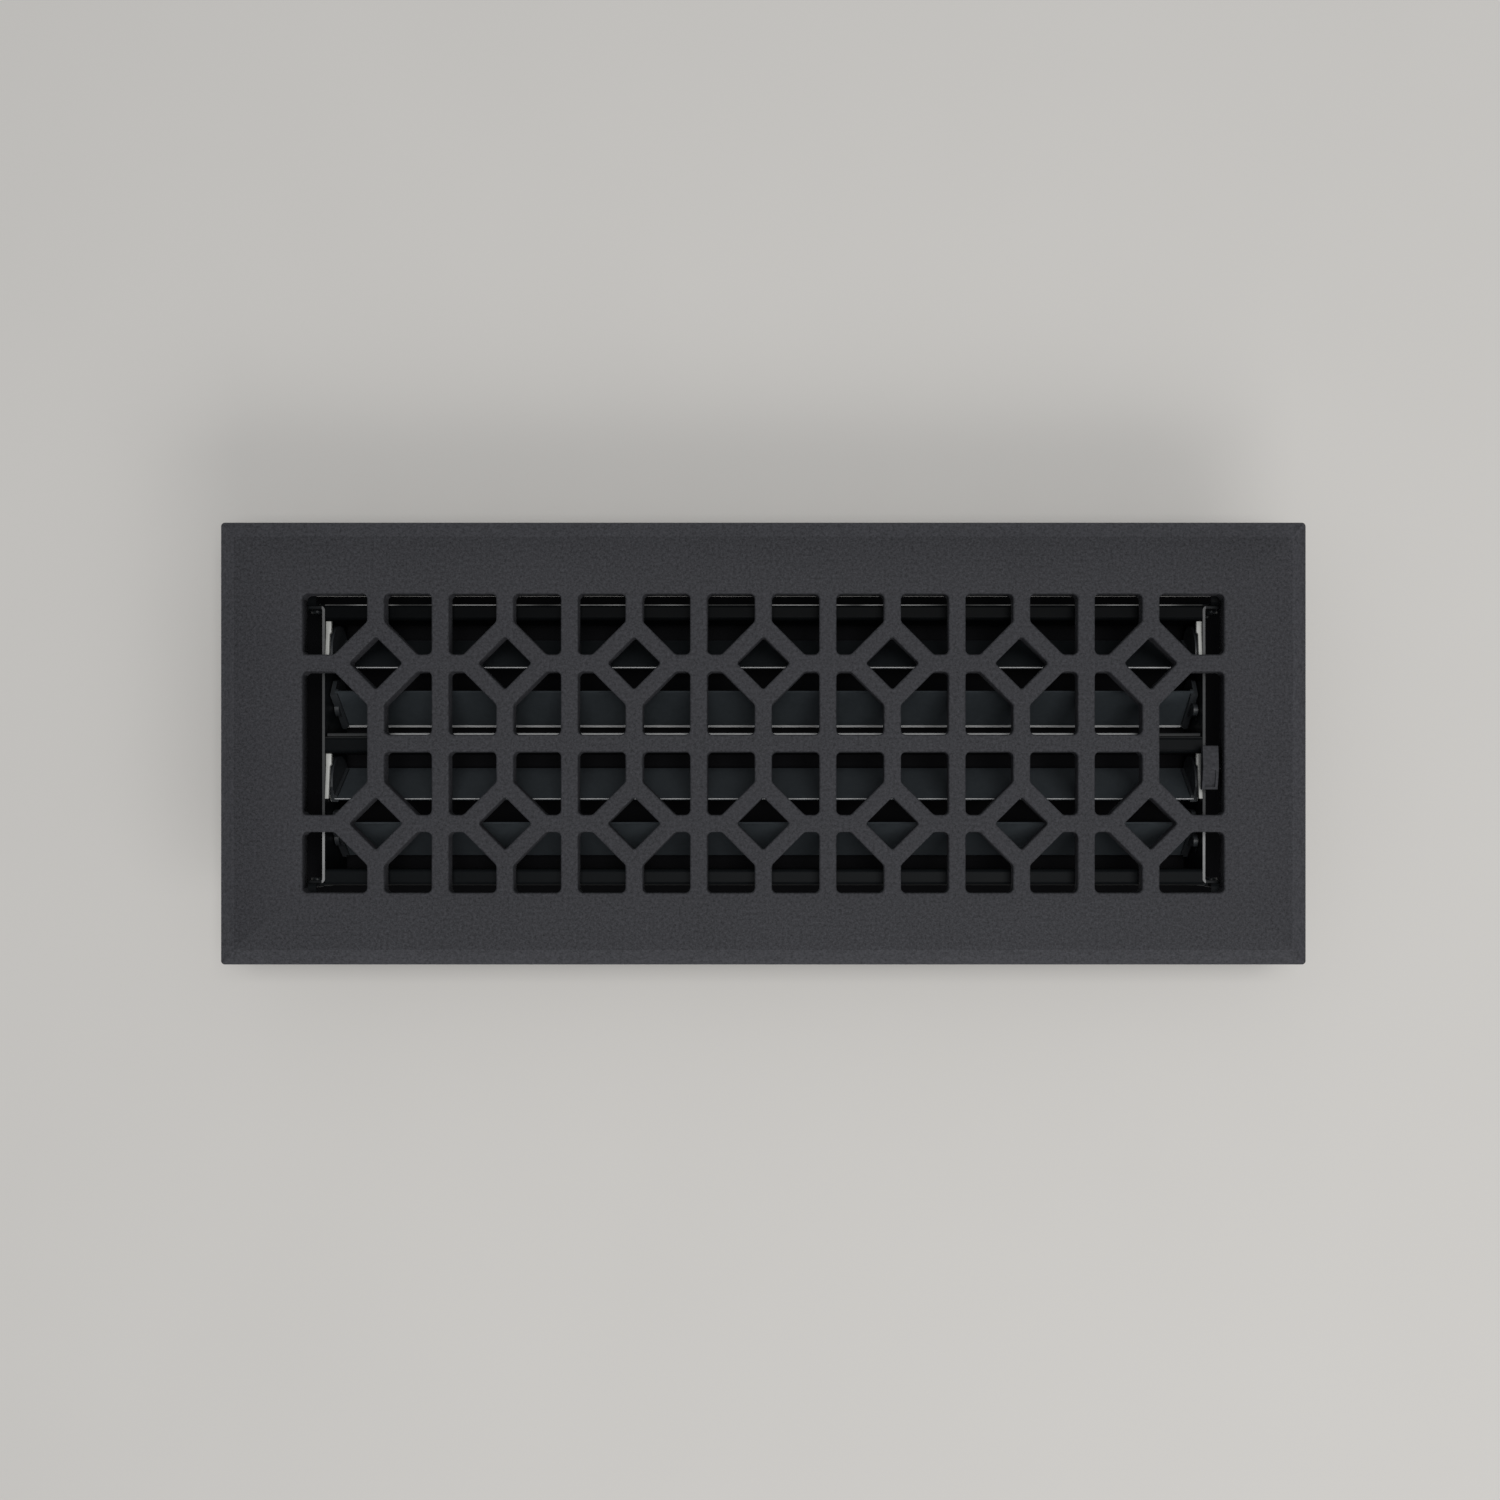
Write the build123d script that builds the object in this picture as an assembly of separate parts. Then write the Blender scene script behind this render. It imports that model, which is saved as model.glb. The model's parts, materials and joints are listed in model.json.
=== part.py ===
"""Floor register for a 4 x 12 in duct: a cast lattice grille over a sheet-steel opposed-blade damper.

The floor-seat plane is z = 0, the long axis is X, up is +Z and the lever is at the +X end.
"""

import os
from math import asin, cos, degrees, radians, sin

from build123d import *

# Face plate casting
PLATE_LENGTH = 342.9
PLATE_WIDTH = 139.7
PLATE_TOP = 7.6
BAR_DEPTH = 5.6
BEVEL_WIDTH = 4.8
BEVEL_DROP = 2.2
PLATE_CORNER = 1.2
RECESS_MARGIN = 3.0

# Lattice of the grille
CELL_PITCH = 40.71
CELLS = 7
BAR_WIDTH = 5.4
ROW_PITCH = 25.27
FIELD_WIDTH = 94.2
DIAMOND_OUT = 15.8
DIAMOND_IN = 8.36
OPENING_RADIUS = 1.6
DIAMOND_RADIUS = 0.8
RIM_ROUND = 0.6

# Damper frame, folded from sheet
SHEET = 0.7
BEND = 0.5
RAIL_TOP = -0.4
RAIL_WIDTH = 5.2
WALL_FACE = 45.0
LEG_DEPTH = 13.6
WALL_DEPTH = 25.1
END_FACE = 140.4
END_SHEET = 0.8
END_FLANGE = 6.3
WALL_OVERHANG = 7.8
TAB_WIDTH = 6.5
TAB_REACH = 10.0

# Blades and their end caps
PIVOT_Z = -12.4
BLADE_SHEET = 0.6
BLADE_MEET_GAP = 0.4
BLADE_RAIL_GAP = 0.35
PIVOT_PITCH = 17.4
REST_TILT = 55.0
OPEN_TILT = 90.0
CAP_PLATE = 1.4
CAP_LIP = 0.9
LIP_HEIGHT = 1.2
CAP_DISC_GAP = 0.5
CAP_MEET_GAP = 0.5
CAP_HUB = 2.6
CAP_END_GAP = 0.3
PIVOT_R = 1.2
STAKE_R = 2.0
STAKE_HEIGHT = 0.6

# Link that turns the four blades together
CRANK = 5.5
CRANK_PIN_R = 0.9
CRANK_EYE_R = 1.9
LINK_SHEET = 0.8
LINK_GAP = 0.3
LINK_WEB = 1.2
LINK_SLOP = 0.35
SLOT_GAP = 0.3
PIN_PROUD = 0.3

# Lever
LEVER_Y = -6.0
LEVER_PIVOT_Z = -22.8
LEVER_GAP = 0.9
LEVER_SHEET = 1.0
LEVER_WIDTH = 5.5
LEVER_FOOT_R = 2.7
DRIVE_Z = -7.4
JOGGLE_LOW = -1.4
JOGGLE_HIGH = 2.2
KNOB_WIDTH = 4.9
KNOB_LENGTH = 13.9
KNOB_BOTTOM = 3.2
KNOB_RIDGE = 6.4
KNOB_EDGE = 5.2
KNOB_BORDER_GAP = 1.4
ARM_IN_KNOB = 2.0
DISH_DEPTH = 0.6
DISH_RIM = 0.8
KNOB_ROUND = 0.45
LEVER_PIN_R = 1.2
LEVER_HEAD_R = 2.6
LEVER_HEAD = 0.9
SPACER_R = 1.8

# Fasteners
RIVET_R = 1.1
RIVET_HEAD_R = 2.0
RIVET_HEAD = 0.8
RIVET_Z = (-8.0, -19.0)
SCREW_R = 1.3
SCREW_HEAD_R = 2.8
SCREW_HEAD = 1.1
SCREW_DEPTH = 4.2

# Clearances between pieces
RUNNING = 0.08
LOOSE = 0.3
TIGHT = 0.02

# Sizes that follow from the ones above
BACK = PLATE_TOP - BAR_DEPTH
FIELD_LENGTH = CELLS * CELL_PITCH + BAR_WIDTH
KNOB_X = FIELD_LENGTH / 2 - KNOB_BORDER_GAP - KNOB_WIDTH / 2
LEG_FACE = WALL_FACE - RAIL_WIDTH
CENTRE_HALF = RAIL_WIDTH / 2
BAY_CENTRE = (CENTRE_HALF + LEG_FACE) / 2
PIVOTS = (
    BAY_CENTRE + PIVOT_PITCH / 2,
    BAY_CENTRE - PIVOT_PITCH / 2,
    -BAY_CENTRE + PIVOT_PITCH / 2,
    -BAY_CENTRE - PIVOT_PITCH / 2,
)
FLIPPED = (False, True, False, True)
HIGH_REACH = PIVOT_PITCH / 2 - BLADE_MEET_GAP / 2
LOW_REACH = BAY_CENTRE - PIVOT_PITCH / 2 - CENTRE_HALF - BLADE_RAIL_GAP
DISC_R = BAY_CENTRE - PIVOT_PITCH / 2 - CENTRE_HALF - CAP_DISC_GAP
DISC_CUT = PIVOT_PITCH / 2 - CAP_MEET_GAP
CAP_OUT = END_FACE - CAP_END_GAP
CAP_IN = CAP_OUT - CAP_PLATE
END_OUT = END_FACE + END_SHEET
WALL_HALF = WALL_FACE - SHEET
WALL_END = END_OUT + WALL_OVERHANG
WALL_BOTTOM = RAIL_TOP - WALL_DEPTH
TAB_START = WALL_END - TAB_WIDTH
RIVET_X = END_OUT + END_FLANGE * 0.6
SCREW_X = WALL_END - TAB_WIDTH / 2
SCREW_Y = WALL_FACE + TAB_REACH * 0.55
RECESS_HALF_X = WALL_END + RECESS_MARGIN
RECESS_HALF_Y = WALL_FACE + TAB_REACH + RECESS_MARGIN
LINK_IN = END_OUT + LINK_GAP
LINK_OUT = LINK_IN + LINK_SHEET
PIN_END = LINK_OUT + PIN_PROUD
LEVER_IN = LINK_OUT + LEVER_GAP
LEVER_OUT = LEVER_IN + LEVER_SHEET
MID_TILT = OPEN_TILT / 2
STROKE = CRANK * sin(radians(MID_TILT))
REST_SHARE = (REST_TILT - MID_TILT) / MID_TILT
LINK_REST = -STROKE * REST_SHARE
DRIVE_R = DRIVE_Z - LEVER_PIVOT_Z
LEVER_HALF_SWING = degrees(asin(STROKE / DRIVE_R))
LEVER_REST = LEVER_HALF_SWING * REST_SHARE
SLOT_R = CRANK_PIN_R + LINK_SLOP
GUIDE_R = PIVOT_R + SLOT_GAP


def slab(face, start, end):
    """A flat face drawn on Y and Z, made solid from x = start to x = end."""
    return extrude(Plane.YZ.offset(start) * face, end - start)


def rod(radius, start, end, y=0.0, z=0.0):
    """A round bar along X."""
    return slab(Pos(y, z) * Circle(radius), start, end)


def block(low, high):
    """A box between two corners."""
    size = [b - a for a, b in zip(low, high)]
    middle = [(a + b) / 2 for a, b in zip(low, high)]
    return Pos(*middle) * Box(*size)


def folded(points, thickness, radius):
    """The section of a folded sheet whose middle line runs through the points."""
    return trace(FilletPolyline(*points, radius=radius + thickness / 2), thickness)


def rounded_opening(points, radius):
    """A polygon with rounded corners."""
    face = make_face(Polyline(*points, close=True))
    return fillet(face.vertices(), radius)


def stadium(y, z, half_y, half_z, radius):
    """A slot on Y and Z, long in one of the two directions."""
    along_y = half_y > half_z
    turn = 0 if along_y else 90
    return Pos(y, z) * SlotCenterToCenter(2 * max(half_y, half_z), 2 * radius, rotation=turn)


def grille_openings():
    """Every opening of the lattice, as faces on X and Y."""
    half = BAR_WIDTH / 2
    cut = DIAMOND_OUT - half
    middle_edge = ROW_PITCH - half
    outer_edge = ROW_PITCH + half
    full = CELL_PITCH / 2 - half
    border = FIELD_LENGTH / 2 - (CELLS // 2) * CELL_PITCH
    top = FIELD_WIDTH / 2
    shapes = []
    for k in range(-(CELLS // 2), CELLS // 2 + 1):
        for way in (1, -1):
            at_end = k * way == CELLS // 2
            side = border if at_end else full
            outer = [
                (cut, outer_edge),
                (side, outer_edge),
                (side, top),
                (half, top),
                (half, ROW_PITCH + cut),
            ]
            inner = [
                (half, half),
                (side, half),
                (side, middle_edge),
                (cut, middle_edge),
                (half, ROW_PITCH - cut),
            ]
            tall = [
                (side, -middle_edge),
                (side, middle_edge),
                (cut, middle_edge),
                (half, ROW_PITCH - cut),
                (half, cut - ROW_PITCH),
                (cut, -middle_edge),
            ]
            outlines = [outer, [(x, -y) for x, y in outer]]
            outlines += [tall] if at_end else [inner, [(x, -y) for x, y in inner]]
            for outline in outlines:
                points = [(k * CELL_PITCH + way * x, y) for x, y in outline]
                shapes.append(rounded_opening(points, OPENING_RADIUS))
        for row in (-ROW_PITCH, ROW_PITCH):
            points = [
                (k * CELL_PITCH + DIAMOND_IN, row),
                (k * CELL_PITCH, row + DIAMOND_IN),
                (k * CELL_PITCH - DIAMOND_IN, row),
                (k * CELL_PITCH, row - DIAMOND_IN),
            ]
            shapes.append(rounded_opening(points, DIAMOND_RADIUS))
    return shapes


def face_plate():
    """The casting: bevelled plate, recessed back, lattice and four blind screw holes."""
    shoulder = PLATE_TOP - BEVEL_DROP
    outline = RectangleRounded(PLATE_LENGTH, PLATE_WIDTH, PLATE_CORNER)
    flat = RectangleRounded(
        PLATE_LENGTH - 2 * BEVEL_WIDTH,
        PLATE_WIDTH - 2 * BEVEL_WIDTH,
        PLATE_CORNER,
    )
    plate = extrude(outline, shoulder)
    plate += loft([Pos(0, 0, shoulder) * outline, Pos(0, 0, PLATE_TOP) * flat])
    recess = RectangleRounded(2 * RECESS_HALF_X, 2 * RECESS_HALF_Y, 2 * RECESS_MARGIN)
    plate -= extrude(recess, BACK)
    plate -= [extrude(Pos(0, 0, BACK - 1) * face, BAR_DEPTH + 2) for face in grille_openings()]
    rims = plate.faces().sort_by(Axis.Z)[-1].inner_wires()
    plate = fillet([edge for rim in rims for edge in rim.edges()], RIM_ROUND)
    for x in (-SCREW_X, SCREW_X):
        for y in (-SCREW_Y, SCREW_Y):
            plate -= extrude(Pos(x, y, BACK) * Circle(SCREW_R + TIGHT), SCREW_DEPTH + LOOSE)
    return plate


def side_rail(way):
    """A long inverted channel whose outer wall runs past the end plates and ends in screw tabs."""
    web = RAIL_TOP - SHEET / 2
    leg_y = LEG_FACE + SHEET / 2
    wall_y = WALL_FACE - SHEET / 2
    channel = [
        (way * leg_y, RAIL_TOP - LEG_DEPTH),
        (way * leg_y, web),
        (way * wall_y, web),
        (way * wall_y, WALL_BOTTOM),
    ]
    tab = [
        (way * wall_y, WALL_BOTTOM),
        (way * wall_y, BACK - SHEET / 2),
        (way * (WALL_FACE + TAB_REACH), BACK - SHEET / 2),
    ]
    rail = slab(folded(channel, SHEET, BEND), -END_FACE, END_FACE)
    bend_z = RAIL_TOP - SHEET - BEND
    near, far = sorted((way * WALL_HALF, way * WALL_FACE))
    for end in (-1, 1):
        low, high = sorted((end * END_FACE, end * TAB_START))
        rail += block((low, near, WALL_BOTTOM), (high, far, bend_z))
        low, high = sorted((end * TAB_START, end * WALL_END))
        rail += slab(folded(tab, SHEET, BEND), low, high)
        for z in RIVET_Z:
            rail -= Pos(end * RIVET_X, way * WALL_FACE, z) * Rot(90, 0, 0) * Cylinder(RIVET_R + TIGHT, 4 * SHEET)
        rail -= Pos(end * SCREW_X, way * SCREW_Y, BACK) * Cylinder(SCREW_R + LOOSE, 4 * SHEET)
    return rail


def centre_rail():
    """The inverted channel between the two inner blades."""
    leg_y = CENTRE_HALF - SHEET / 2
    web = RAIL_TOP - SHEET / 2
    bottom = RAIL_TOP - LEG_DEPTH
    points = [(-leg_y, bottom), (-leg_y, web), (leg_y, web), (leg_y, bottom)]
    return slab(folded(points, SHEET, BEND), -END_FACE, END_FACE)


def end_plate(end):
    """An end wall with its two outward flanges, the blades' bearing holes and, on the right, the slots."""
    wall_y = WALL_HALF - END_SHEET / 2
    middle = END_FACE + END_SHEET / 2
    tip = END_OUT + END_FLANGE
    points = [
        (end * tip, -wall_y),
        (end * middle, -wall_y),
        (end * middle, wall_y),
        (end * tip, wall_y),
    ]
    section = folded(points, END_SHEET, BEND)
    plate = extrude(Pos(0, 0, WALL_BOTTOM) * section, WALL_DEPTH)
    low, high = sorted((end * (END_FACE - 1), end * (END_OUT + 1)))
    for y in PIVOTS:
        plate -= rod(PIVOT_R + RUNNING, low, high, y, PIVOT_Z)
    for y in (-wall_y, wall_y):
        for z in RIVET_Z:
            plate -= Pos(end * RIVET_X, y, z) * Rot(90, 0, 0) * Cylinder(RIVET_R + TIGHT, 4 * END_SHEET)
    if end > 0:
        for y, flipped in zip(PIVOTS, FLIPPED):
            plate -= slab(crank_window(y, flipped), low, high)
        plate -= rod(LEVER_PIN_R + TIGHT, low, high, LEVER_Y, LEVER_PIVOT_Z)
    return plate


def crank_window(y, flipped):
    """The curved slot a crank pin sweeps through, above the pivot or below it."""
    middle = 90 if flipped else -90
    arc = CenterArc((0, 0), CRANK, middle - MID_TILT, 2 * MID_TILT)
    return Pos(y, PIVOT_Z) * SlotArc(arc, 2 * (CRANK_PIN_R + LOOSE))


def blade_place(y, flipped):
    """Where a blade's own Y (towards its low edge) and Z (its disc side) go at rest."""
    return Pos(0, y, PIVOT_Z) * Rot(180 + REST_TILT if flipped else -REST_TILT, 0, 0)


def blade():
    """One flat sheet, pivoted on its middle plane."""
    half = BLADE_SHEET / 2
    return block((-CAP_IN, -HIGH_REACH, -half), (CAP_IN, LOW_REACH, half))


def cap(crank_side, driven, staked):
    """A moulded end cap: half disc, groove for the sheet, pivot pin and, on the driven end, a crank pin."""
    half = BLADE_SHEET / 2 + TIGHT
    band = make_face(Polyline(
        (-DISC_CUT, -LIP_HEIGHT),
        (DISC_R, -LIP_HEIGHT),
        (DISC_R, DISC_R),
        (-DISC_CUT, DISC_R),
        close=True,
    ))
    outline = Circle(DISC_R) & band
    outline += Circle(CAP_HUB)
    body = slab(outline, CAP_IN, CAP_OUT)
    groove = Circle(DISC_R) & Rectangle(2 * DISC_CUT, 2 * LIP_HEIGHT)
    groove -= Rectangle(4 * DISC_R, 2 * half)
    body += slab(groove, CAP_IN - CAP_LIP, CAP_IN)
    body += rod(PIVOT_R, CAP_OUT, PIN_END)
    if staked:
        body += rod(STAKE_R, PIN_END, PIN_END + STAKE_HEIGHT)
    if driven:
        y = crank_side * CRANK * cos(radians(MID_TILT))
        z = -CRANK * sin(radians(MID_TILT))
        eye = Circle(CAP_HUB) + Pos(y, z) * Circle(CRANK_EYE_R)
        body += slab(make_hull(eye.edges()), CAP_IN, CAP_OUT)
        body += rod(CRANK_PIN_R, CAP_OUT, PIN_END, y, z)
    return body


def link_bar():
    """The strip that slides along Y outside the right end plate, drawn at mid stroke and set at rest."""
    top = PIVOT_Z + CRANK + SLOT_R + LINK_WEB
    bottom = PIVOT_Z - GUIDE_R - LINK_WEB
    half = PIVOTS[0] + SLOT_R + STROKE / 2 + LINK_WEB
    lobe = SLOT_R + 2 * LINK_WEB
    lobe_bottom = PIVOT_Z - CRANK - SLOT_R - LINK_WEB
    strip = Pos(0, (top + bottom) / 2) * RectangleRounded(2 * half, top - bottom, LINK_WEB)
    for y, flipped in zip(PIVOTS, FLIPPED):
        if not flipped:
            tall = PIVOT_Z - lobe_bottom
            strip += Pos(y, (PIVOT_Z + lobe_bottom) / 2) * RectangleRounded(2 * lobe, tall, LINK_WEB)
    near = CRANK * cos(radians(MID_TILT))
    for y, flipped in zip(PIVOTS, FLIPPED):
        way = 1 if flipped else -1
        strip -= stadium(y, PIVOT_Z, STROKE + SLOT_GAP, 0, GUIDE_R)
        strip -= stadium(y, PIVOT_Z + way * (near + CRANK) / 2, 0, (CRANK - near) / 2, SLOT_R)
    drop = DRIVE_R * (1 - cos(radians(LEVER_HALF_SWING)))
    strip -= stadium(LEVER_Y, DRIVE_Z - drop / 2, 0, drop / 2 + SLOT_GAP, SLOT_R)
    return Pos(0, LINK_REST, 0) * slab(strip, LINK_IN, LINK_OUT)


def lever_place(shape):
    """Swings a lever piece from mid stroke to where it rests."""
    axis = Axis((0, LEVER_Y, LEVER_PIVOT_Z), (1, 0, 0))
    return shape.rotate(axis, LEVER_REST)


def lever_arm():
    """A flat arm, joggled inward so its top comes up inside the grille opening."""
    top = KNOB_BOTTOM + ARM_IN_KNOB
    bottom = LEVER_PIVOT_Z - LEVER_FOOT_R
    middle = LEVER_IN + LEVER_SHEET / 2
    side = [
        (middle, bottom),
        (middle, JOGGLE_LOW),
        (KNOB_X, JOGGLE_HIGH),
        (KNOB_X, top),
    ]
    strip = folded(side, LEVER_SHEET, BEND)
    wide = extrude(Plane.XZ.offset(-LEVER_Y - LEVER_WIDTH) * strip, 2 * LEVER_WIDTH)
    shank = Pos(LEVER_Y, (LEVER_PIVOT_Z + top) / 2) * Rectangle(LEVER_WIDTH, top - LEVER_PIVOT_Z)
    outline = shank + Pos(LEVER_Y, LEVER_PIVOT_Z) * Circle(LEVER_FOOT_R)
    arm = wide & slab(outline, KNOB_X - KNOB_WIDTH, LEVER_OUT + 1)
    arm -= rod(LEVER_PIN_R + RUNNING, LEVER_IN - 1, LEVER_OUT + 1, LEVER_Y, LEVER_PIVOT_Z)
    arm -= rod(CRANK_PIN_R + TIGHT, LEVER_IN - 1, LEVER_OUT + 1, LEVER_Y, DRIVE_Z)
    return lever_place(arm)


def lever_knob():
    """The moulded thumb knob: two sloping facets, a dish in the one, a pocket for the arm."""
    half = KNOB_LENGTH / 2
    profile = [
        (LEVER_Y - half, KNOB_BOTTOM),
        (LEVER_Y + half, KNOB_BOTTOM),
        (LEVER_Y + half, KNOB_EDGE),
        (LEVER_Y, KNOB_RIDGE),
        (LEVER_Y - half, KNOB_EDGE),
    ]
    left = KNOB_X - KNOB_WIDTH / 2
    right = KNOB_X + KNOB_WIDTH / 2
    knob = slab(make_face(Polyline(*profile, close=True)), left, right)
    knob = fillet(knob.edges().filter_by(Axis.X).sort_by(Axis.Z)[2:], KNOB_ROUND)
    dish = make_face(Polyline(
        (LEVER_Y - half + DISH_RIM, KNOB_EDGE - DISH_DEPTH),
        (LEVER_Y - DISH_RIM, KNOB_RIDGE - DISH_DEPTH),
        (LEVER_Y - DISH_RIM, KNOB_RIDGE + 1),
        (LEVER_Y - half + DISH_RIM, KNOB_RIDGE + 1),
        close=True,
    ))
    knob -= slab(dish, left + DISH_RIM, right - DISH_RIM)
    fit = LEVER_SHEET / 2 + TIGHT
    reach = LEVER_WIDTH / 2 + TIGHT
    top = KNOB_BOTTOM + ARM_IN_KNOB + TIGHT
    knob -= block(
        (KNOB_X - fit, LEVER_Y - reach, KNOB_BOTTOM - 1),
        (KNOB_X + fit, LEVER_Y + reach, top),
    )
    return lever_place(knob)


def lever_drive_pin():
    """The pin on the lever that pushes the link."""
    pin = rod(CRANK_PIN_R, LINK_IN - TIGHT, LEVER_OUT, LEVER_Y, DRIVE_Z)
    pin += rod(CRANK_EYE_R, LEVER_OUT, LEVER_OUT + STAKE_HEIGHT, LEVER_Y, DRIVE_Z)
    return lever_place(pin)


def lever_pivot_rivet():
    """The shouldered rivet the lever swings on, flush inside the end plate."""
    face = LEVER_OUT + RUNNING
    rivet = rod(LEVER_PIN_R, END_FACE, face, LEVER_Y, LEVER_PIVOT_Z)
    return rivet + rod(LEVER_HEAD_R, face, face + LEVER_HEAD, LEVER_Y, LEVER_PIVOT_Z)


def lever_spacer():
    """The bush that holds the lever off the end plate."""
    bush = rod(SPACER_R, END_OUT, LEVER_IN - RUNNING, LEVER_Y, LEVER_PIVOT_Z)
    return bush - rod(LEVER_PIN_R + TIGHT, END_OUT - 1, LEVER_IN, LEVER_Y, LEVER_PIVOT_Z)


def rivet():
    """A rivet along Z through the two sheets of a frame corner, its outer sheet's face at z = 0."""
    grip = SHEET + END_SHEET
    shank = Pos(0, 0, -grip / 2) * Cylinder(RIVET_R, grip)
    outer = Pos(0, 0, RIVET_HEAD / 2) * Cylinder(RIVET_HEAD_R, RIVET_HEAD)
    outer = fillet(outer.edges().sort_by(Axis.Z)[-1:], RIVET_HEAD * 0.6)
    inner = Pos(0, 0, -grip - RIVET_HEAD / 2) * Cylinder(RIVET_HEAD_R, RIVET_HEAD)
    inner = fillet(inner.edges().sort_by(Axis.Z)[:1], RIVET_HEAD * 0.6)
    return shank + outer + inner


def frame_rivets():
    """Two rivets at each corner of the damper frame."""
    made = []
    for end in (-1, 1):
        for way in (-1, 1):
            for z in RIVET_Z:
                place = Pos(end * RIVET_X, way * WALL_FACE, z) * Rot(-90 * way, 0, 0)
                made.append(place * rivet())
    return Compound(children=made)


def screw():
    """A wafer-head screw pointing up, its seat at z = 0."""
    head = Pos(0, 0, -SCREW_HEAD / 2) * Cylinder(SCREW_HEAD_R, SCREW_HEAD)
    head = fillet(head.edges().sort_by(Axis.Z)[:1], SCREW_HEAD * 0.5)
    for turn in (0, 90):
        head -= Pos(0, 0, -SCREW_HEAD) * Rot(0, 0, turn) * Box(2 * SCREW_R, SCREW_R / 2, SCREW_HEAD)
    shank = SHEET + SCREW_DEPTH
    return head + Pos(0, 0, shank / 2) * Cylinder(SCREW_R, shank)


def mounting_screws():
    """One screw through each tab into the casting."""
    seat = BACK - SHEET
    places = [(x, y) for x in (-SCREW_X, SCREW_X) for y in (-SCREW_Y, SCREW_Y)]
    return Compound(children=[Pos(x, y, seat) * screw() for x, y in places])


def parts():
    """Every piece, by node name."""
    made = {
        "face_plate": face_plate(),
        "side_rail_rear": side_rail(1),
        "side_rail_front": side_rail(-1),
        "centre_rail": centre_rail(),
        "end_plate_left": end_plate(-1),
        "end_plate_right": end_plate(1),
        "frame_rivets": frame_rivets(),
        "mounting_screws": mounting_screws(),
        "link_bar": link_bar(),
        "lever_arm": lever_arm(),
        "lever_knob": lever_knob(),
        "lever_drive_pin": lever_drive_pin(),
        "lever_pivot_rivet": lever_pivot_rivet(),
        "lever_spacer": lever_spacer(),
    }
    for number, (y, flipped) in enumerate(zip(PIVOTS, FLIPPED), start=1):
        place = blade_place(y, flipped)
        crank_side = -1 if flipped else 1
        staked = number in (1, len(PIVOTS))
        left = mirror(cap(crank_side, False, False), Plane.YZ)
        made[f"blade_{number}"] = place * blade()
        made[f"blade_cap_left_{number}"] = place * left
        made[f"blade_cap_right_{number}"] = place * cap(crank_side, True, staked)
    return made


os.makedirs("parts", exist_ok=True)
for name, shape in parts().items():
    export_step(shape, f"parts/{name}.step")
    box = shape.bounding_box()
    print(name, [round(v, 2) for v in (*box.min, *box.max)])
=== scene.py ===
# %% [markdown]
# # A floor register in black powder coat
#
# The register is a cast lattice grille with a four-blade damper under it. Its solids come from the
# CAD part, already at their true size in metres. This lesson gives them their finishes, smooths the
# casting's shading, adds a rolled hem and four wear strips, and sets up the light and the camera.

# %% Load the solids
import json
from math import cos, radians, sin

import bpy
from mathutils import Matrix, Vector


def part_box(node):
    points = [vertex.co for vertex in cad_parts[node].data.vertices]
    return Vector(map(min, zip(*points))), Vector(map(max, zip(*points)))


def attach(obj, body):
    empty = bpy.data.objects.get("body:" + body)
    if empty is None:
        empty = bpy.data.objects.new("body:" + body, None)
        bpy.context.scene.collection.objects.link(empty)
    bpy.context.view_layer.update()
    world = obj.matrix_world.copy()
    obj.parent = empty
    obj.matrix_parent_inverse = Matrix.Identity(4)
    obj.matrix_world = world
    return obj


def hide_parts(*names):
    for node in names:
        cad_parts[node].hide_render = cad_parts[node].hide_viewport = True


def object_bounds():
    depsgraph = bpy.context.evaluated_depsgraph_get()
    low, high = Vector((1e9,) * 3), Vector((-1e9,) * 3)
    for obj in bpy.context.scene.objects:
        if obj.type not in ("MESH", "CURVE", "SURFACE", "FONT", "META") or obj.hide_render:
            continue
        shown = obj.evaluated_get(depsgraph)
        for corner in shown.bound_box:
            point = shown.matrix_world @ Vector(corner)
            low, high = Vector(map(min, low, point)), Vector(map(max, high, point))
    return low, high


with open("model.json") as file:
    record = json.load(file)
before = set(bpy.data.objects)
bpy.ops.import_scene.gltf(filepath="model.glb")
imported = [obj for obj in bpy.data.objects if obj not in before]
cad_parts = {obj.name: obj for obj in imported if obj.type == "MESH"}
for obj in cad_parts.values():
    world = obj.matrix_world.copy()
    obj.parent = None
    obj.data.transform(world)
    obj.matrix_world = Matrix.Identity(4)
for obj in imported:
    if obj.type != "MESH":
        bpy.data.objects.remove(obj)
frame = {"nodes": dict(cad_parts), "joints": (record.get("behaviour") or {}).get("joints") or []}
nodes = frame["nodes"]
solid_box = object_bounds()
print("solids:", len(nodes), "box:", [tuple(round(v, 4) for v in corner) for corner in solid_box])

# %% [markdown]
# ## Shader sums
#
# A finish is a small sum of patterns: a fleck here, a worn edge there. Node links are hard to read
# as code, so one small class wraps a socket and lets Python's own operators add the Math nodes.

# %% A socket that can be added and multiplied


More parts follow.
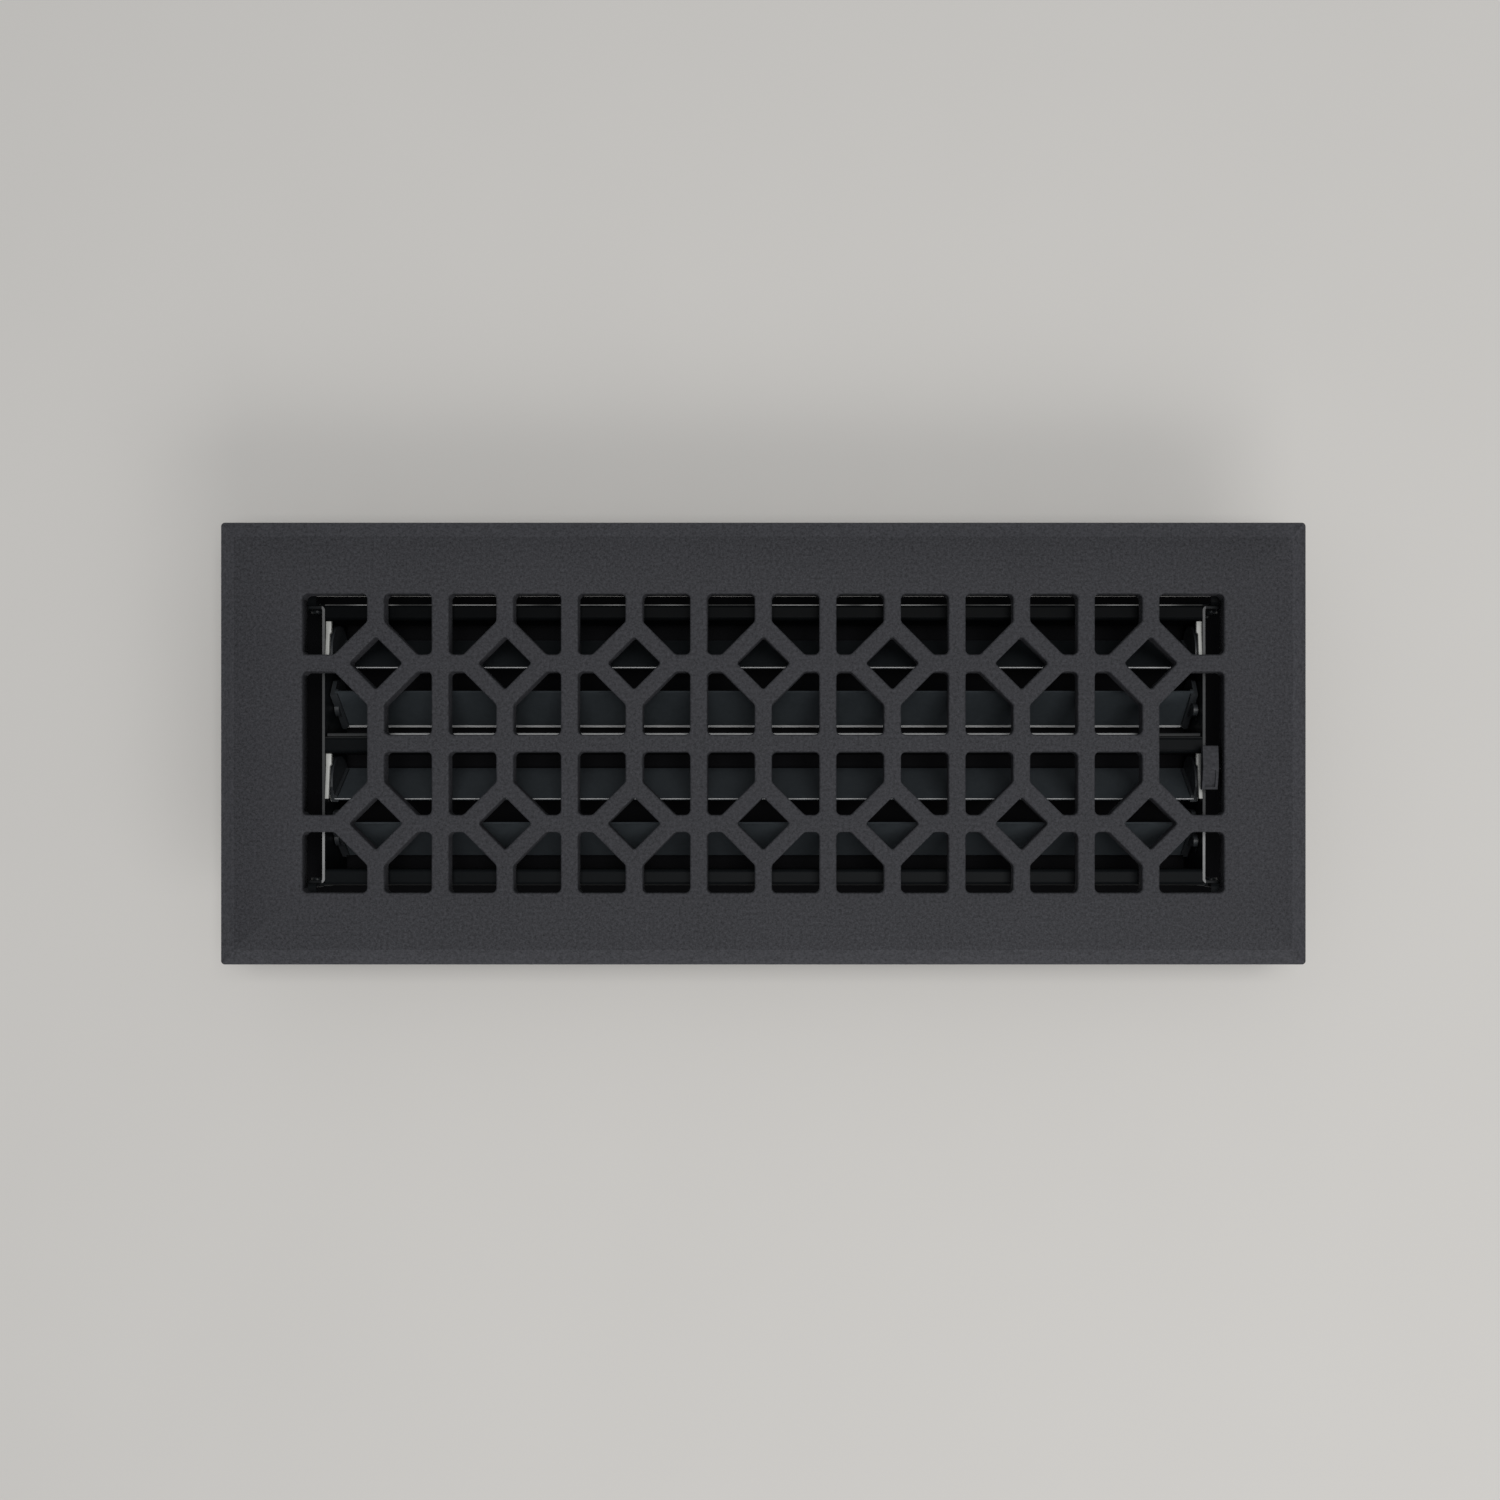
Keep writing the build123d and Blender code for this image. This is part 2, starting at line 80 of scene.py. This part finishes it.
class Wire:
    """A socket of a material's node tree that takes part in sums like a number."""

    def __init__(self, tree, socket=None):
        self.tree = tree
        self.socket = socket

    def node(self, kind, settings=None, inputs=None, output=0):
        """Adds a node, sets it up, fills its sockets and returns one of its outputs."""
        made = self.tree.nodes.new(kind)
        for name, value in (settings or {}).items():
            setattr(made, name, value)
        for name, value in (inputs or {}).items():
            if isinstance(value, Wire):
                self.tree.links.new(value.socket, made.inputs[name])
            else:
                made.inputs[name].default_value = value
        return Wire(self.tree, made.outputs[output])

    def math(self, operation, first, second=0.0):
        return self.node("ShaderNodeMath", {"operation": operation}, {0: first, 1: second})

    def __add__(self, other):
        return self.math("ADD", self, other)

    def __radd__(self, other):
        return self.math("ADD", other, self)

    def __sub__(self, other):
        return self.math("SUBTRACT", self, other)

    def __rsub__(self, other):
        return self.math("SUBTRACT", other, self)

    def __mul__(self, other):
        return self.math("MULTIPLY", self, other)

    def __rmul__(self, other):
        return self.math("MULTIPLY", other, self)

    def __gt__(self, other):
        return self.math("GREATER_THAN", self, other)

    def __lt__(self, other):
        return self.math("LESS_THAN", self, other)

    def __abs__(self):
        return self.math("ABSOLUTE", self)

    def ease(self, start, end):
        """0 before start, 1 after end, smooth between."""
        limits = {"Value": self, "From Min": start, "From Max": end}
        return self.node("ShaderNodeMapRange", {"interpolation_type": "SMOOTHSTEP"}, limits)

    def blend(self, low, high):
        """Blends two colours by this value. Each is a Wire or four numbers."""
        ends = {"Factor": self, 6: low, 7: high}
        return self.node("ShaderNodeMix", {"data_type": "RGBA"}, ends, output=2)

    def colour(self, low, high):
        """Blends two plain colours of three numbers by this value."""
        return self.blend((*low, 1.0), (*high, 1.0))


# %% [markdown]
# Every finish is one Principled shader. Its patterns start from the point on the piece, in metres in
# the piece's own frame, so a pattern stays on its piece when the damper moves.

# %% Helpers for the finishes
def new_finish(name, **constants):
    """A material with one Principled shader. Returns it, the shader and the point on the piece."""
    material = bpy.data.materials.new(name)
    material.use_nodes = True
    shader = material.node_tree.nodes["Principled BSDF"]
    for socket, value in constants.items():
        shader.inputs[socket.replace("_", " ")].default_value = value
    point = Wire(material.node_tree).node("ShaderNodeTexCoord", output="Object")
    return material, shader, point


def feed(shader, **inputs):
    """Links values into a shader's sockets."""
    for socket, wire in inputs.items():
        wire.tree.links.new(wire.socket, shader.inputs[socket.replace("_", " ")])


def axes_of(point):
    """X, Y and Z of a point as three values."""
    return [point.node("ShaderNodeSeparateXYZ", None, {0: point}, output=k) for k in range(3)]


def noise(point, size, detail=2.0, roughness=0.5):
    """Cloudy noise whose blobs are about size metres across, as a value round 0.5."""
    inputs = {"Vector": point, "Scale": 1 / size, "Detail": detail, "Roughness": roughness}
    return point.node("ShaderNodeTexNoise", {"noise_dimensions": "3D"}, inputs)


def paint(finish, *names):
    """Gives solids a finish."""
    for name in names:
        for slot in nodes[name].material_slots:
            slot.material = finish
    print(finish.name, "on", ", ".join(names))


# %% [markdown]
# ## Powder coat on the casting
#
# The grille is hung in a cloud of charged powder and baked. The coat is near black and matt, and it
# dries with a fine orange peel: bumps about a millimetre across. Flecks a few tenths of a millimetre
# across catch the light. A picture of a coat would blur up close, so noise makes both. The bevel
# round the plate is painted a touch lighter: a painted sheen for the light the bevel catches.

# %% The casting's finish
CLOUD_SIZE = 0.030
PEEL_SIZE = 0.00095
FLECK_SIZE = 0.00045
PEEL_HEIGHT = 0.00012
# How much lighter the bevel is painted: a painted sheen.
BEVEL_SHEEN_LIFT = 0.14
BEVEL = 0.0048
plate_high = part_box("face_plate")[1]


def powder_coat(name, shade, peel, fleck, sheen_mask=None):
    """A matt coat of a mean shade, with peel as the bumps' strength and fleck as the contrast."""
    material, shader, point = new_finish(name, Metallic=0.0, Specular_IOR_Level=0.12)
    cloud = noise(point, CLOUD_SIZE, detail=3.0)
    grain = noise(point, PEEL_SIZE, detail=2.0)
    fine = noise(point, FLECK_SIZE, detail=1.0)
    tone = 0.5 + 0.16 * (cloud - 0.5) + 0.92 * (grain - 0.5) + fleck * (fine - 0.5)
    # Where the sheen mask is 1, the coat is painted lighter: a painted sheen.
    if sheen_mask is not None:
        tone = tone + BEVEL_SHEEN_LIFT * sheen_mask(*axes_of(point))
    dark = [0.3 * c for c in shade]
    light = [1.7 * c for c in shade]
    feed(shader, Base_Color=tone.colour(dark, light))
    feed(shader, Roughness=0.58 + 0.10 * cloud + 0.06 * fine)
    bumps = {"Strength": peel, "Distance": PEEL_HEIGHT, "Height": 0.7 * grain + 0.3 * fine}
    feed(shader, Normal=point.node("ShaderNodeBump", None, bumps))
    return material


def bevel_sheen_mask(x, y, z):
    """The bevel round the plate, painted a touch lighter as a painted sheen."""
    return 1 - (abs(x) < plate_high.x - BEVEL) * (abs(y) < plate_high.y - BEVEL)


# The casting, with its bevel painted lighter as a painted sheen.
casting_coat = powder_coat("matt black powder coat", (0.037, 0.037, 0.041), 0.35, 0.8, bevel_sheen_mask)
paint(casting_coat, "face_plate")

# %% [markdown]
# ## Black paint on the sheet, bare at the cut edges
#
# Rails, end plates, blades and link are stamped from strip that was painted before it was cut. The
# faces are black, dulled by a little dust, and the cut edges are bare steel. Some bends carry a
# painted highlight in the steel's colour. On these thin pieces an edge is known by its place, so a
# mask on the piece's own coordinates finds it.

# %% The sheet's finish
DULL_SIZE = 0.018
DUST_SIZE = 0.0016
STREAK_SIZE = 0.0007
DARK_TINT = (0.50, 0.58, 0.65)
LIGHT_TINT = (1.2, 1.4, 1.55)


def painted_sheet(name, bare_mask=None, shade=0.004, shine=0.08, bright=0.35):
    """Black paint of a shade and a shine, over steel that shows, this bright, where the mask is 1."""
    material, shader, point = new_finish(name, Specular_IOR_Level=shine)
    cloud = noise(point, DULL_SIZE, detail=3.0)
    dust = noise(point, DUST_SIZE, detail=3.0, roughness=0.65)
    tone = 0.5 * cloud + 0.5 * dust
    painted = tone.colour([k * shade for k in DARK_TINT], [k * shade for k in LIGHT_TINT])
    rough = 0.26 + 0.16 * cloud + 0.10 * dust
    if bare_mask is None:
        feed(shader, Base_Color=painted, Roughness=rough)
        return material
    bare = bare_mask(*axes_of(point))
    streak = noise(point, STREAK_SIZE, detail=2.0)
    steel = streak.colour([0.8 * bright] * 3, [1.2 * bright] * 3)
    feed(shader, Base_Color=bare.blend(painted, steel), Roughness=rough + 0.15 * bare)
    return material


# %% [markdown]
# The end plates are bare along their top edges, with painted highlight and shade along them. The
# centre rail's far bend has a painted highlight in the steel's colour, and so, in patches, has the
# far rail's outer bend.

# %% The rails, the end plates and the linkage
EDGE = 0.00004
WEB_REACH = 0.001
MIDDLE_TO = 0.022
BAYS_FROM = 0.030
HIGHLIGHT_FULL_TO = 0.117
HIGHLIGHT_FAINT_FROM = 0.121
HIGHLIGHT_DROP = 0.93
BEND_HIGHLIGHT_WIDTH = 0.0005
BEND_HIGHLIGHT_DEPTH = 0.0009
PATCH_HIGHLIGHT_INSET = 0.0002
PATCH_HIGHLIGHT_DEPTH = 0.0007
PATCHES_PER_METRE = 38.0
end_low, end_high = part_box("end_plate_right")
rail_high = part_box("centre_rail")[1]


def highlight_along(x):
    """The painted highlight's strength along the damper: 1 in the middle, little in the end bays."""
    return 1 - HIGHLIGHT_DROP * abs(x).ease(HIGHLIGHT_FULL_TO, HIGHLIGHT_FAINT_FROM)


def end_mask(x, y, z):
    """The bare top edge of an end plate's web, with painted highlight and shade along it."""
    edge = (z > end_high.z - EDGE) * (abs(x) < end_low.x + WEB_REACH)
    # Painted highlight and shade: the edge is brightest in the near bay and dimmest in the middle.
    far_bay = y.ease(MIDDLE_TO, BAYS_FROM)
    near_bay = y.ease(-MIDDLE_TO, -BAYS_FROM)
    return edge * (0.18 + 0.22 * far_bay + 0.82 * near_bay)


def bend_highlight_mask(x, y, z):
    """The far bend of the centre rail, painted as a bright highlight."""
    return (y > rail_high.y - BEND_HIGHLIGHT_WIDTH) * (z > rail_high.z - BEND_HIGHLIGHT_DEPTH) * highlight_along(x)


def patch_highlight_mask(x, y, z):
    """Patches of painted highlight along the far rail's outer bend, between the end plates."""
    along = {"W": x, "Scale": PATCHES_PER_METRE, "Detail": 1.0}
    patch = x.node("ShaderNodeTexNoise", {"noise_dimensions": "1D"}, along)
    bend = (y > end_high.y + PATCH_HIGHLIGHT_INSET) * (z > rail_high.z - PATCH_HIGHLIGHT_DEPTH) * (abs(x) < end_low.x)
    return bend * (0.15 + 0.85 * patch.ease(0.42, 0.58))


# The rails and end plates are painted much darker than the linkage, and the near rail less dark than
# the far and centre rails: painted shade inside the box.
folded = painted_sheet("black sheet, folded rail", shade=0.008, shine=0.03)
linkage = painted_sheet("black sheet, linkage", shade=0.016, shine=0.25)
# The far rail's outer bend has a painted highlight in patches.
far_bend_highlight = painted_sheet("black sheet, scuffed bend", patch_highlight_mask, shade=0.0035, shine=0.02)
bare_top = painted_sheet("black sheet, bare top edge", end_mask, shade=0.008, bright=0.30)
# The centre rail's far bend is a painted highlight in the steel's colour.
centre_bend_highlight = painted_sheet("black sheet, rubbed bend", bend_highlight_mask, shade=0.005, shine=0.03)
paint(folded, "side_rail_front")
paint(linkage, "frame_rivets", "link_bar", "lever_arm")
paint(far_bend_highlight, "side_rail_rear")
paint(bare_top, "end_plate_left", "end_plate_right")
paint(centre_bend_highlight, "centre_rail")

# %% [markdown]
# The blades are tilted, so each blade's mask turns the coordinates into its own: along the sheet
# from the pivot, and across its thickness. A shear leaves half of a cut edge bright and half of it
# torn and dull, so half of the upper edge is bare. Which edges are bare follows the light, so they
# are partly painted highlights: the upper edges of the first and third blades and the lower edge of
# the second are bare, and the fourth blade, whose edges lie in shade, stays painted. Each blade has
# its own shade of paint: painted light and shade for how much light reaches it.

# %% The blades' finish
REST_TILT = radians(55)
# Each blade's shade is painted light and shade: how much light reaches that blade.
BLADE_SHADES = {1: 0.020, 2: 0.050, 3: 0.054, 4: 0.058}
BLADE_LOW = -0.00955
BLADE_HIGH = 0.0085
BLADE_SHINE = 0.3
LOWER_HIGHLIGHT_WIDTH = 0.0011
joints = {joint["name"]: joint for joint in frame["joints"]}


def blade_mask(name):
    """The mask of a blade's bare edge, partly a painted highlight."""
    number = int(name[-1])
    pivot = joints[f"{name}_turn"]["pos_m"]
    rises = -1 if number % 2 else 1

    def mask(x, y, z):
        along = (y - pivot[1]) * (rises * cos(REST_TILT)) + (z - pivot[2]) * sin(REST_TILT)
        across = (y - pivot[1]) * (-rises * sin(REST_TILT)) + (z - pivot[2]) * cos(REST_TILT)
        # The second blade's lower edge is a painted highlight.
        if number == 2:
            return along < BLADE_LOW + LOWER_HIGHLIGHT_WIDTH
        return (along > BLADE_HIGH - EDGE) * (across > 0.0)

    return mask


for number in range(1, 5):
    name = f"blade_{number}"
    # The fourth blade stays painted, its edges in shade; the second's edge is a brighter painted
    # highlight.
    bare = None if number == 4 else blade_mask(name)
    bright = 0.7 if number == 2 else 0.55
    paint(painted_sheet(f"black blade {number}", bare, BLADE_SHADES[number], BLADE_SHINE, bright), name)

# %% [markdown]
# ## Nylon, zinc and the knob
#
# The blades turn in moulded nylon end caps. Caps of the two hands are told apart by colour: the
# first and third blades have unpigmented ones, a milky white, and the others black ones. The blades
# are sprayed once more with the caps on, so only the caps' outer faces and pins keep their colour.
# Screws and pins are zinc plated. The knob is moulded in black plastic with a spark-eroded grain.

# %% The small pieces' finishes
CAP_END_GAP = 0.0003
SPRAY = (0.027, 0.030, 0.033, 1.0)
NYLON_CLOUD = 0.004
ZINC_CLOUD = 0.0012
cap_out = end_low.x - CAP_END_GAP


def nylon(name, low, high, sprayed=False):
    """Moulded nylon between two colours. A sprayed cap is black but for its outer face and pin."""
    material, shader, point = new_finish(name)
    cloud = noise(point, NYLON_CLOUD, detail=2.0)
    colour = cloud.colour(low, high)
    if sprayed:
        inside = abs(axes_of(point)[0]) < cap_out - EDGE
        colour = inside.blend(colour, SPRAY)
    feed(shader, Base_Color=colour, Roughness=0.38 + 0.15 * cloud)
    return material


def zinc():
    """Bright zinc plate with a faint mottle."""
    material, shader, point = new_finish("bright zinc plate", Metallic=1.0)
    cloud = noise(point, ZINC_CLOUD, detail=3.0)
    feed(shader, Base_Color=cloud.colour((0.48, 0.48, 0.50), (0.68, 0.68, 0.70)))
    feed(shader, Roughness=0.28 + 0.18 * cloud)
    return material


white_nylon = nylon("natural nylon", (0.70, 0.69, 0.63), (0.84, 0.83, 0.78), sprayed=True)
black_nylon = nylon("black nylon", (0.012, 0.012, 0.012), (0.020, 0.020, 0.020), sprayed=True)
knob_plastic = powder_coat("black moulded plastic", (0.036, 0.036, 0.040), peel=0.2, fleck=0.43)
for number in range(1, 5):
    handed = white_nylon if number % 2 else black_nylon
    paint(handed, f"blade_cap_left_{number}", f"blade_cap_right_{number}")
paint(zinc(), "mounting_screws", "lever_pivot_rivet", "lever_spacer", "lever_drive_pin")
paint(knob_plastic, "lever_knob")

# %% [markdown]
# ## Smooth shading on the casting
#
# The solids arrive as loose triangles, so the rounded rims of the openings would show as facets. A
# copy of the casting's mesh is merged and shaded smooth by angle, and the copy is shown in its place.

# %% Smooth the casting
MERGE_WITHIN = 0.000002
CASTING_SMOOTH = radians(20)


def copy_of(name):
    """A copy of a solid with its own mesh, its doubles merged."""
    bpy.ops.object.select_all(action="DESELECT")
    piece = nodes[name].copy()
    piece.data = nodes[name].data.copy()
    piece.name = f"{name}_smooth"
    bpy.context.collection.objects.link(piece)
    piece.parent = None
    piece.matrix_world.identity()
    piece.select_set(True)
    bpy.context.view_layer.objects.active = piece
    bpy.ops.object.mode_set(mode="EDIT")
    bpy.ops.mesh.select_all(action="SELECT")
    bpy.ops.mesh.remove_doubles(threshold=MERGE_WITHIN)
    bpy.ops.object.mode_set(mode="OBJECT")
    return piece


plate = copy_of("face_plate")
bpy.ops.object.shade_smooth_by_angle(angle=CASTING_SMOOTH)
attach(plate, "frame")
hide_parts("face_plate")
print("casting faces:", len(plate.data.polygons))

# %% [markdown]
# ## A rolled hem on the centre rail
#
# The far edge of the centre rail has a small rolled hem, which stiffens the sheet. Its crest shows
# as a bright line beside the rail, a painted highlight. It starts as a cylinder laid along the rail.
# A roll is hollow, so its two ends are inset and pushed in.

# %% Roll the hem
HEM_RADIUS = 0.00065
HEM_SIDES = 24
HEM_SHARE = 0.995
HEM_OVERLAP = 0.00005
HEM_DROP = 0.00045
HEM_CREST = 0.35 * HEM_RADIUS
HEM_WALL = 0.00022
HEM_HOLLOW = 0.004
TRIM_SMOOTH = radians(40)
FACES_ALONG = 0.9


def select_faces(piece, wanted):
    """Opens a piece in edit mode with the wanted faces selected."""
    bpy.context.tool_settings.mesh_select_mode = (False, False, True)
    bpy.ops.object.mode_set(mode="EDIT")
    bpy.ops.mesh.select_all(action="DESELECT")
    bpy.ops.object.mode_set(mode="OBJECT")
    for face in piece.data.polygons:
        face.select = wanted(face)
    bpy.ops.object.mode_set(mode="EDIT")


def hem_highlight_mask(x, y, z):
    """The crest of the hem, a painted highlight, fainter toward its ends."""
    return (z > rail_high.z - HEM_DROP - HEM_CREST) * highlight_along(x)


hem_y = rail_high.y + HEM_RADIUS - HEM_OVERLAP
hem_z = rail_high.z - HEM_DROP - HEM_RADIUS
bpy.ops.object.select_all(action="DESELECT")
bpy.ops.mesh.primitive_cylinder_add(
    vertices=HEM_SIDES,
    radius=HEM_RADIUS,
    depth=2 * HEM_SHARE * rail_high.x,
    location=(0, hem_y, hem_z),
    rotation=(0, radians(90), 0),
)
hem = bpy.context.object
hem.name = "centre_rail_hem"
bpy.ops.object.transform_apply(location=True, rotation=True, scale=True)
select_faces(hem, lambda face: abs(face.normal.x) > FACES_ALONG)
bpy.ops.mesh.inset(thickness=HEM_WALL)
bpy.ops.mesh.extrude_region_shrink_fatten(TRANSFORM_OT_shrink_fatten={"value": -HEM_HOLLOW})
bpy.ops.object.mode_set(mode="OBJECT")
bpy.ops.object.shade_smooth_by_angle(angle=TRIM_SMOOTH)
# The hem's crest is a painted highlight in the steel's colour.
hem.data.materials.append(painted_sheet("black sheet, rubbed hem", hem_highlight_mask, 0.005, 0.03, 0.45))
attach(hem, "frame")
print("hem at", round(hem_y, 5), round(hem_z, 5))

# %% [markdown]
# ## Wear strips on the end plates
#
# A white nylon strip sits inside each end plate over the first and third blades' caps, and keeps the
# caps from scraping the sheet. It is moulded with a thicker pad at its rail end. A cube makes the
# pad. Its free end is pushed out twice: first short and narrowed, which makes the shoulder, and then
# long and rising, which makes the strip.

# %% Mould the wear strips
PAD_THICK = 0.0017
PAD_LENGTH = 0.0035
STRIP_THICK = 0.0012
STRIP_HEIGHT = 0.0015
STRIP_SEAT = 0.00005
STRIP_RISE = 0.0091
STRIP_FAR = 0.0097
STRIP_NEAR = -0.0048
STRIP_SLOPE = 0.123
SHOULDER = 0.0005
STRIP_ROUND = 0.00015
SHARP_OVER = radians(30)


def push_out(length):
    """Extrudes the selected end toward -Y, rising by the strip's slope."""
    step = (0, -length, length * STRIP_SLOPE)
    bpy.ops.mesh.extrude_region_move(TRANSFORM_OT_translate={"value": step})


def wear_strip(name, side, pivot):
    outer = side * (end_low.x + STRIP_SEAT)
    middle = Vector((
        outer - side * PAD_THICK / 2,
        pivot[1] + STRIP_FAR - PAD_LENGTH / 2,
        pivot[2] + STRIP_RISE + STRIP_HEIGHT / 2,
    ))
    bpy.ops.object.select_all(action="DESELECT")
    bpy.ops.mesh.primitive_cube_add(size=1, location=middle)
    strip = bpy.context.object
    strip.name = name
    strip.scale = (PAD_THICK, PAD_LENGTH, STRIP_HEIGHT)
    bpy.ops.object.transform_apply(location=True, rotation=True, scale=True)
    select_faces(strip, lambda face: face.normal.y < -FACES_ALONG)
    push_out(SHOULDER)
    narrowed = (STRIP_THICK / PAD_THICK, 1, 1)
    bpy.ops.transform.resize(value=narrowed, center_override=(outer, middle.y, middle.z))
    push_out(STRIP_FAR - PAD_LENGTH - SHOULDER - STRIP_NEAR)
    bpy.context.tool_settings.mesh_select_mode = (False, True, False)
    bpy.ops.mesh.select_all(action="DESELECT")
    bpy.ops.mesh.edges_select_sharp(sharpness=SHARP_OVER)
    bpy.ops.mesh.bevel(offset=STRIP_ROUND, segments=2)
    bpy.ops.object.mode_set(mode="OBJECT")
    bpy.ops.object.shade_smooth_by_angle(angle=TRIM_SMOOTH)
    strip.data.materials.append(shaded_strip_nylon)
    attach(strip, "frame")
    print(name, "faces:", len(strip.data.polygons))


# The strips are painted a darker grey than the caps' nylon: painted shade, for the shade they sit in.
shaded_strip_nylon = nylon("natural nylon strip", (0.38, 0.38, 0.36), (0.52, 0.52, 0.49))
for number in (1, 3):
    pivot = joints[f"blade_{number}_turn"]["pos_m"]
    wear_strip(f"wear_strip_left_{number}", -1, pivot)
    wear_strip(f"wear_strip_right_{number}", 1, pivot)

# %% [markdown]
# ## The floor
#
# The register stands on its damper box on a plain pale floor. A near-black sheet, a little larger
# than the box, lies under it as painted shade: the dark of a duct below a register.

# %% Floor and duct shade
FLOOR_Z = solid_box[0].z
FLOOR_HALF = 3.0
SHADE_HALF_X = 0.158
SHADE_HALF_Y = 0.051
SHEET_GAP = 0.0001
FLOOR_CLOUD = 0.08


def stage_sheet(name, half_x, half_y, z, shade):
    bpy.ops.object.select_all(action="DESELECT")
    bpy.ops.mesh.primitive_plane_add(size=2, location=(0, 0, z))
    sheet = bpy.context.object
    sheet.name = name
    sheet.scale = (half_x, half_y, 1)
    bpy.ops.object.transform_apply(location=True, rotation=True, scale=True)
    material, shader, point = new_finish(name, Roughness=0.9, Specular_IOR_Level=0.0)
    cloud = noise(point, FLOOR_CLOUD)
    feed(shader, Base_Color=cloud.colour([0.97 * c for c in shade], shade))
    sheet.data.materials.append(material)
    print(name, "at", round(z, 5))


stage_sheet("pale floor", FLOOR_HALF, FLOOR_HALF, FLOOR_Z - 2 * SHEET_GAP, (0.62, 0.60, 0.57))
# A near-black sheet under the box: painted shade.
stage_sheet("black duct paper", SHADE_HALF_X, SHADE_HALF_Y, FLOOR_Z - SHEET_GAP, (0.010, 0.010, 0.011))

# %% [markdown]
# ## Light
#
# The blades are lit evenly down to their lower edges, which only light from above can reach, so the
# main light is a soft box overhead. The near bevel is a little lighter than the far one, so a second
# box stands low on the near side. A dim even world fills the rest.

# %% Lamps and world
def soft_box(name, place, width, depth, power):
    """An area lamp that looks at the origin."""
    bpy.ops.object.light_add(type="AREA", location=place)
    lamp = bpy.context.object
    lamp.name = name
    lamp.data.shape = "RECTANGLE"
    lamp.data.size = width
    lamp.data.size_y = depth
    lamp.data.energy = power
    lamp.rotation_euler = (-Vector(place)).to_track_quat("-Z", "Y").to_euler()
    print(name, power, "W")


soft_box("overhead soft box", (0.2, 0.0, 1.8), 0.9, 0.9, 17)
soft_box("near soft box", (0.7, -1.4, 0.9), 1.6, 0.7, 13)
world = bpy.data.worlds.new("studio")
bpy.context.scene.world = world
world.use_nodes = True
background = world.node_tree.nodes["Background"]
background.inputs["Color"].default_value = (0.93, 0.96, 1.0, 1)
background.inputs["Strength"].default_value = 0.32

# %% [markdown]
# ## Camera
#
# The register is seen from straight above at about half a metre. The lens is shifted a little, so
# the view stays square to the plate while the plate sits above the middle of what the lens sees.

# %% Camera
PIXEL = 0.0003148
FRAME_PIXELS = 1500
CAMERA_HEIGHT = 0.5
SENSOR = 36
AXIS_AT = (800, 830)
PLATE_AT = (763.2, 743.2)
camera_data = bpy.data.cameras.new("camera")
camera = bpy.data.objects.new("camera", camera_data)
bpy.context.scene.collection.objects.link(camera)
camera.location = (
    (AXIS_AT[0] - PLATE_AT[0]) * PIXEL,
    (PLATE_AT[1] - AXIS_AT[1]) * PIXEL,
    plate_high.z + CAMERA_HEIGHT,
)
camera_data.sensor_width = SENSOR
camera_data.lens = SENSOR * CAMERA_HEIGHT / (FRAME_PIXELS * PIXEL)
camera_data.shift_x = (FRAME_PIXELS / 2 - AXIS_AT[0]) / FRAME_PIXELS
camera_data.shift_y = (AXIS_AT[1] - FRAME_PIXELS / 2) / FRAME_PIXELS
camera_data.clip_start = 0.01
bpy.context.scene.camera = camera
bpy.context.scene.view_settings.view_transform = "Standard"
shift = (round(camera_data.shift_x, 4), round(camera_data.shift_y, 4))
print("lens", round(camera_data.lens, 2), "shift", *shift)
